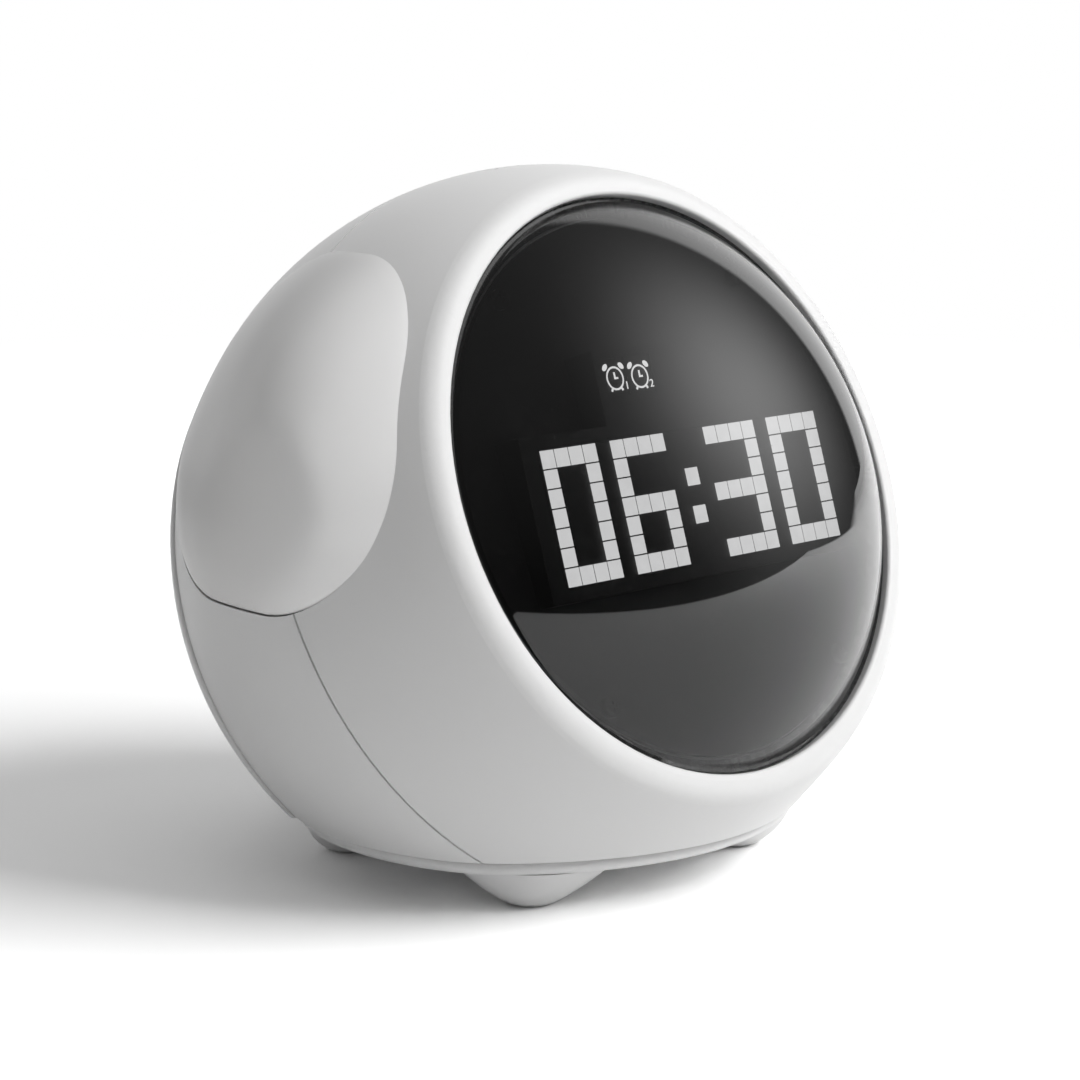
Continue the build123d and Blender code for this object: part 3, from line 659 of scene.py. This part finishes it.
# Where a flat shape goes within a sign, and how far it is turned
def flatPlace(place, angle=0):
    shift = Matrix.Translation((place[0], place[1], signs["level"]))
    return shift @ Matrix.Rotation(radians(angle), 4, "Z")


def flatBar(length, width, place, angle):
    deselectAll()
    bpy.ops.mesh.primitive_cube_add(size=1, location=(0, 0, 0))
    bar = bpy.context.object
    bar.data.transform(Matrix.Diagonal((length, width, signs["height"], 1)))
    bar.data.transform(Matrix.Translation((length / 2, 0, 0)))
    bar.data.transform(flatPlace(place, angle))
    return bar


def flatRing(radius, line, place):
    deselectAll()
    bpy.ops.mesh.primitive_torus_add(
        major_radius=radius, minor_radius=line,
        major_segments=signs["ringSteps"], minor_segments=signs["lineSteps"],
    )
    ring = bpy.context.object
    ring.data.transform(flatPlace(place) @ Matrix.Scale(signs["flatten"], 4, (0, 0, 1)))
    return ring


def flatDisc(radius, place, squash, angle):
    deselectAll()
    bpy.ops.mesh.primitive_cylinder_add(
        vertices=signs["discSteps"], radius=radius, depth=signs["height"],
    )
    disc = bpy.context.object
    disc.data.transform(Matrix.Diagonal((squash, 1, 1, 1)))
    disc.data.transform(flatPlace(place, angle))
    return disc


def number(text, place):
    deselectAll()
    bpy.ops.object.text_add()
    figure = bpy.context.object
    figure.data.body = text
    figure.data.size = signs["numberSize"]
    figure.data.extrude = signs["height"] / 2
    figure.data.align_x = "CENTER"
    figure.data.align_y = "CENTER"
    bpy.ops.object.convert(target="MESH")
    figure = bpy.context.object
    figure.data.transform(flatPlace(place))
    return figure


def alarmSigns():
    pieces = []
    for x, y, text in signs["places"]:
        pieces.append(flatRing(signs["ring"], signs["line"], (x, y)))
        for angle in signs["bellAngles"]:
            way = radians(angle)
            spot = (x + signs["bellReach"] * cos(way), y + signs["bellReach"] * sin(way))
            pieces.append(flatDisc(signs["bell"], spot, signs["squash"], angle))
        for angle in signs["legAngles"]:
            way = radians(angle)
            spot = (x + signs["legReach"] * cos(way), y + signs["legReach"] * sin(way))
            pieces.append(flatBar(signs["legLength"], 2 * signs["line"], spot, angle))
        pieces.append(flatBar(signs["minuteHand"], 2 * signs["hand"], (x, y - signs["hand"]), 90))
        pieces.append(flatBar(signs["hourHand"], 2 * signs["hand"], (x - signs["hand"], y), 0))
        pieces.append(number(text, (x + signs["numberAt"][0], y + signs["numberAt"][1])))
    sign = joined(pieces, "alarm_signs")
    sign.data.materials.clear()
    sign.data.materials.append(paints["sign"])
    return settle(sign, displayFrame)


alarmSigns()
print("alarm signs done")

# Signs printed on the four keys at the back, each fixed to its key
keys = dict(
    cap=48.9, pitch=9.2, level=12.0, count=4, rise=0.01, line=0.34, thinLine=0.238, bar=2.4,
    ring=1.05, ringLine=0.15, minuteHand=0.72, hourHand=0.55, handTail=0.1,
    disc=0.62, rays=8, rayStart=0.98, rayLength=0.52,
)


def lessSign():
    return [flatBar(keys["bar"], keys["line"], (-keys["bar"] / 2, 0), 0)]


def moreSign():
    return lessSign() + [flatBar(keys["bar"], keys["line"], (0, -keys["bar"] / 2), 90)]


def clockSign():
    return [flatRing(keys["ring"], keys["ringLine"], (0, 0)),
            flatBar(keys["minuteHand"], keys["thinLine"], (0, -keys["handTail"]), 90),
            flatBar(keys["hourHand"], keys["thinLine"], (-keys["handTail"], 0), 0)]


def lightSign():
    pieces = [flatDisc(keys["disc"], (0, 0), 1.0, 0)]
    for ray in range(keys["rays"]):
        angle = 360 * ray / keys["rays"]
        way = radians(angle)
        spot = (keys["rayStart"] * cos(way), keys["rayStart"] * sin(way))
        pieces.append(flatBar(keys["rayLength"], keys["thinLine"], spot, angle))
    return pieces


# A key's cap is a piece of a ball, so each sign is turned to look straight out of its own cap
def keySigns():
    drawings = (lightSign, clockSign, moreSign, lessSign)
    for index, drawing in enumerate(drawings):
        x = (index - (keys["count"] - 1) / 2) * keys["pitch"]
        reach = (keys["cap"] ** 2 - x**2 - keys["level"] ** 2) ** 0.5
        spot = Vector((x, reach, keys["level"]))
        normal = spot.normalized()
        right = (Vector((-1, 0, 0)) + normal * normal.x).normalized()
        turn = Matrix((right, normal.cross(right), normal)).transposed().to_4x4()
        name = "key_" + str(index + 1)
        sign = joined(drawing(), name.replace("key", "key_sign"))
        sign.data.transform(Matrix.Translation((0, 0, keys["rise"] - signs["level"])))
        sign.data.materials.clear()
        sign.data.materials.append(paints["whiteGrid"])
        settle(sign, ballFrame @ Matrix.Translation(spot) @ turn, body=name)


keySigns()
print("key signs done")

# The camera, in metres, stands at the front left and a little above the clock
view = dict(
    place=(-0.26640, -0.27011, 0.10869),
    right=(0.7094, -0.7048, -0.0006),
    up=(0.1261, 0.1261, 0.9840),
    lens=100.29,
    sensor=36.0,
    nearest=0.01,
)


def addCamera():
    right = Vector(view["right"]).normalized()
    up = Vector(view["up"])
    up = (up - up.dot(right) * right).normalized()
    back = right.cross(up)
    turn = Matrix((right, up, back)).transposed().to_4x4()
    deselectAll()
    bpy.ops.object.camera_add()
    camera = bpy.context.object
    camera.name = "camera"
    camera.matrix_world = Matrix.Translation(view["place"]) @ turn
    camera.data.lens = view["lens"]
    camera.data.sensor_width = view["sensor"]
    camera.data.clip_start = view["nearest"]
    bpy.context.scene.camera = camera


addCamera()

light = dict(
    keyPlace=(0.375, -0.735, 0.70), keyDistance=0.8, keySize=0.50, keyPower=5.2,
    topPlace=(0.15, 0.10, 0.98), topDistance=0.9, topSize=0.7, topPower=0.6,
)


# A square soft light that looks at the middle of the ball
def softBox(name, direction, distance, size, power):
    aim = Vector((0, middleY * mm, clock["ballHeight"] * mm))
    way = Vector(direction).normalized()
    deselectAll()
    bpy.ops.object.light_add(type="AREA", location=aim + way * distance)
    box = bpy.context.object
    box.name = name
    box.rotation_euler = way.to_track_quat("Z", "Y").to_euler()
    box.data.size = size
    box.data.energy = power
    box.visible_glossy = False
    box.visible_camera = False


softBox("keyLight", light["keyPlace"], light["keyDistance"], light["keySize"], light["keyPower"])
softBox("topLight", light["topPlace"], light["topDistance"], light["topSize"], light["topPower"])

sweep = dict(
    size=8.0, colour=0.94, shownColour=1.50, growth=9.0, fadeStart=0.28, fadeEnd=0.60,
    mirroredColour=1.30, mirroredGain=2.2, mirroredFadeStart=0.9, mirroredFadeEnd=1.6,
    frontEdge=-0.274, frontBlur=0.01, frontSlope=0.30,
    sideEdge=0.64, sideBlur=0.04, sideStart=-0.16, sideEnd=-0.06,
)


# Pale floor that turns plain white further out. Mirrored in the dome it ends at the front and on
# the right, as a studio table does.
def addFloor():
    deselectAll()
    bpy.ops.mesh.primitive_plane_add(size=sweep["size"], location=(0, 0, 0))
    floor = named("floor")
    material, paint = newPaint("floorPaper")
    path = {name: paint.add("ShaderNodeLightPath", output="Is " + name + " Ray")
            for name in ("Camera", "Glossy", "Transmission")}
    x, y = [paint.add("ShaderNodeSeparateXYZ", {}, {0: paint.spot()}, output=axis) for axis in "XY"]
    away = (x * x + y * y) ** 0.5
    level = sweep["shownColour"] + sweep["growth"] * away * away
    bright = paint.add("ShaderNodeCombineColor", {}, {"Red": level, "Green": level, "Blue": level})
    gain = sweep["mirroredColour"] + sweep["mirroredGain"] * x.atLeast(0)
    polish = paint.add("ShaderNodeCombineColor", {}, {"Red": gain, "Green": gain, "Blue": gain})
    plain = paint.add("ShaderNodeBsdfDiffuse", {}, {"Color": grey(sweep["colour"])})
    shown = paint.add("ShaderNodeBsdfDiffuse", {}, {"Color": bright})
    mirrored = paint.add("ShaderNodeBsdfDiffuse", {}, {"Color": polish})
    white = paint.add("ShaderNodeEmission", {}, {"Color": grey(1.0), "Strength": 1.0})
    nothing = paint.add("ShaderNodeBsdfTransparent", {}, {"Color": grey(1.0)})
    far = away.step(sweep["fadeStart"], sweep["fadeEnd"])
    seen = path["Camera"].atLeast(path["Transmission"])
    paper = paint.add("ShaderNodeMixShader", {}, {0: far, 1: shown, 2: white})
    paper = paint.add("ShaderNodeMixShader", {}, {0: seen, 1: plain, 2: paper})
    mirroredFar = away.step(sweep["mirroredFadeStart"], sweep["mirroredFadeEnd"])
    mirrored = paint.add("ShaderNodeMixShader", {}, {0: mirroredFar, 1: mirrored, 2: white})
    paper = paint.add("ShaderNodeMixShader", {}, {0: path["Glossy"], 1: paper, 2: mirrored})
    frontEdge, frontBlur = sweep["frontEdge"], sweep["frontBlur"]
    sideEdge, sideBlur = sweep["sideEdge"], sweep["sideBlur"]
    front = (y + sweep["frontSlope"] * x).step(frontEdge - frontBlur, frontEdge + frontBlur)
    side = x.step(sideEdge - sideBlur, sideEdge + sideBlur)
    side = side * (1 - y.step(sweep["sideStart"], sweep["sideEnd"]))
    ended = path["Glossy"] * (1 - front).atLeast(side)
    paint.surface(paint.add("ShaderNodeMixShader", {}, {0: ended, 1: paper, 2: nothing}))
    floor.data.materials.append(material)


addFloor()

room = dict(
    dark=0.05, ceiling=0.13, glow=2.35, glowWidth=8.5, glowPlace=(0.66, -0.54, 0.52),
    sweepStart=0.14, sweepEnd=0.20, sweepLean=0.20,
    frontFill=0.26, backFill=0.36, leftFill=0.6,
)


# White sweep behind, a dark room in front and a soft glow where the key light stands
def addWorld():
    world = bpy.data.worlds.new("studio")
    bpy.context.scene.world = world
    world.use_nodes = True
    paint = Paint(world.node_tree)
    way = paint.add("ShaderNodeTexCoord", output="Generated")
    x, y, z = [paint.add("ShaderNodeSeparateXYZ", {}, {0: way}, output=axis) for axis in "XYZ"]
    keyWay = Vector(room["glowPlace"]).normalized()
    towards = (x * keyWay.x + y * keyWay.y + z * keyWay.z).atLeast(0)
    behind = (y - room["sweepLean"] * z.atLeast(0)).step(room["sweepStart"], room["sweepEnd"])
    dark = room["dark"] + room["ceiling"] * z.atLeast(0) + room["glow"] * towards ** room["glowWidth"]
    mirrored = dark * (1 - behind) + behind
    fill = room["frontFill"] + (room["backFill"] - room["frontFill"]) * behind
    fill = fill * (1 - room["leftFill"] * (0 - x).atLeast(0))
    path = {name: paint.add("ShaderNodeLightPath", output="Is " + name + " Ray")
            for name in ("Camera", "Glossy", "Transmission")}
    shown = path["Camera"].atLeast(path["Transmission"])
    level = fill * (1 - path["Glossy"]) + mirrored * path["Glossy"]
    level = level * (1 - shown) + shown
    sky = paint.add("ShaderNodeBackground", {}, {"Color": grey(1.0), "Strength": level})
    output = world.node_tree.nodes.new("ShaderNodeOutputWorld")
    world.node_tree.links.new(sky.socket, output.inputs["Surface"])


addWorld()
bpy.context.scene.view_settings.view_transform = "Standard"
print("camera, light and stage ready")
